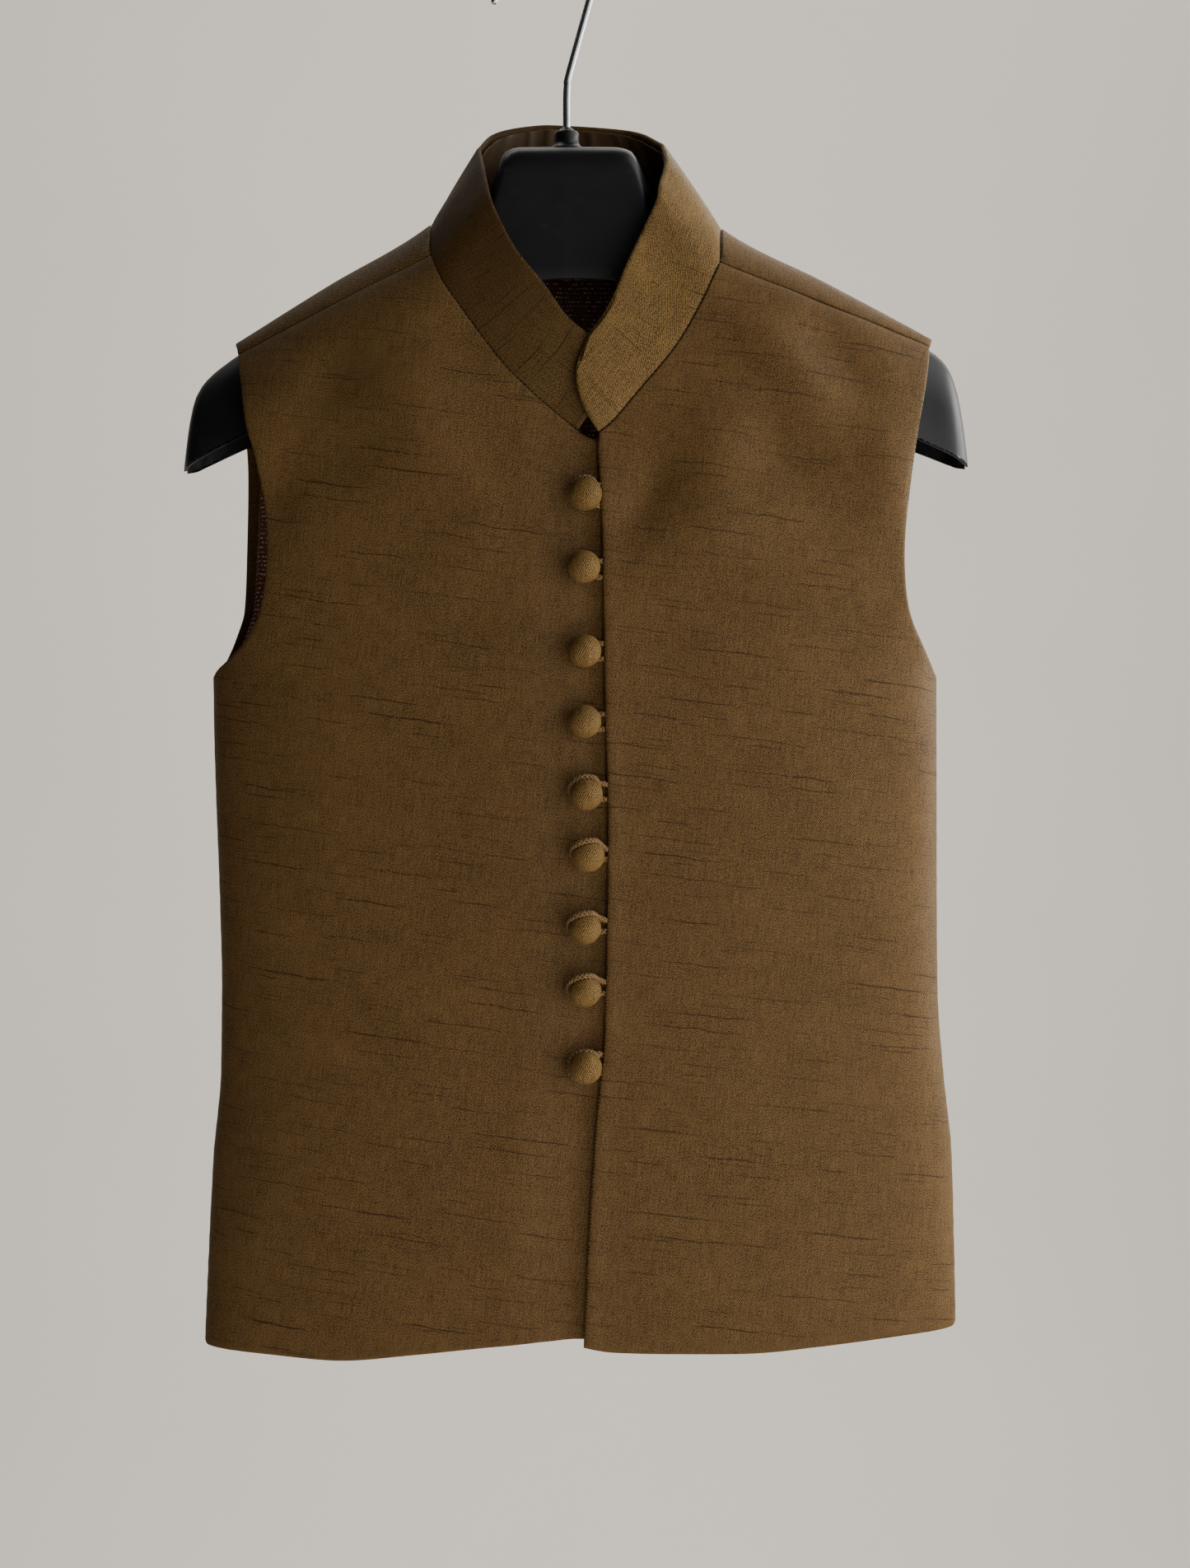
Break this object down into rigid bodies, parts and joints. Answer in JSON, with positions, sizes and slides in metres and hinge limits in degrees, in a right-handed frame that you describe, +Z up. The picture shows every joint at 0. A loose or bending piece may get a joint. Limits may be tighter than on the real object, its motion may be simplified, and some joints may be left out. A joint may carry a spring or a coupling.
{
  "type": "sherwani waistcoat on a hanger",
  "caption": "Sleeveless hip-length sherwani waistcoat with a lapped band collar, ball buttons in cord loops and side vents, on a half-form hanger with a wire hook.",
  "frame": {"origin": "the inner top of the hook, where a rail bears on the wire", "axes": "+Z up, +X towards the wearer's left, +Y from the front of the garment to its back"},
  "size_m": [0.351, 0.092, 0.64],
  "materials": {
    "slub_silk": "bronze-brown slub silk blend with a soft sheen",
    "lining_satin": "red-brown satin lining",
    "loop_braid": "golden-brown braided cord",
    "hanger_plastic": "black, satin to gloss",
    "hook_steel": "bright plated wire"
  },
  "bodies": {
    "root": {"left_front": "slub_silk", "right_front": "slub_silk", "back": "slub_silk", "collar": "slub_silk", "button_1": "slub_silk", "button_2": "slub_silk", "button_3": "slub_silk", "button_4": "slub_silk", "button_5": "slub_silk", "button_6": "slub_silk", "button_7": "slub_silk", "button_8": "slub_silk", "button_9": "slub_silk", "back_lining": "lining_satin", "collar_lining": "lining_satin", "loop_1": "loop_braid", "loop_2": "loop_braid", "loop_3": "loop_braid", "loop_4": "loop_braid", "loop_5": "loop_braid", "loop_6": "loop_braid", "loop_7": "loop_braid", "loop_8": "loop_braid", "loop_9": "loop_braid", "hanger_form": "hanger_plastic", "hook_socket": "hanger_plastic", "hook_wire": "hook_steel"}
  },
  "joints": []
}
